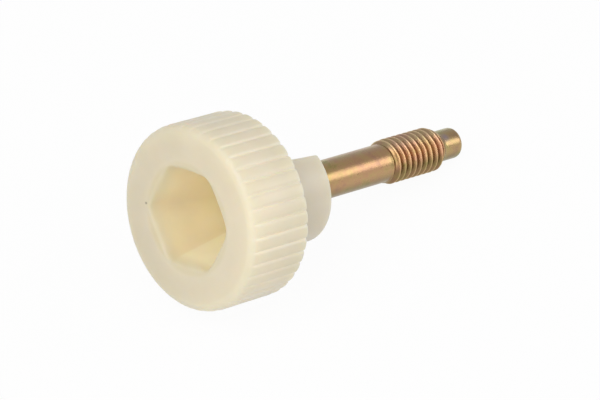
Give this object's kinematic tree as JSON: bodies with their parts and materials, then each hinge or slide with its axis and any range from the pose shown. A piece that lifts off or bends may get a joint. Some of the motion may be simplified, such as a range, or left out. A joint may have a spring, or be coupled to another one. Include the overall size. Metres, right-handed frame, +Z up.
{
  "type": "knurled thumb screw",
  "caption": "Finger-turned screw: ribbed nylon knob with a tapered hexagonal recess, on a steel stud with a plain shank, a short M6 thread and a dog point.",
  "frame": {"origin": "centre of the floor under the screw as it lies on its side", "axes": "+X horizontal from the knob to the stud's tip, +Z up; the screw's own axis points down at the tip by 14.47 degrees"},
  "size_m": [0.0497, 0.024, 0.0253],
  "materials": {
    "nylon": "natural cream nylon, satin and slightly translucent",
    "zinc_plated_steel": "yellow passivated zinc plating with faint pink and olive tints"
  },
  "bodies": {
    "root": {"knurled_knob": "nylon", "threaded_stud": "zinc_plated_steel"}
  },
  "joints": []
}
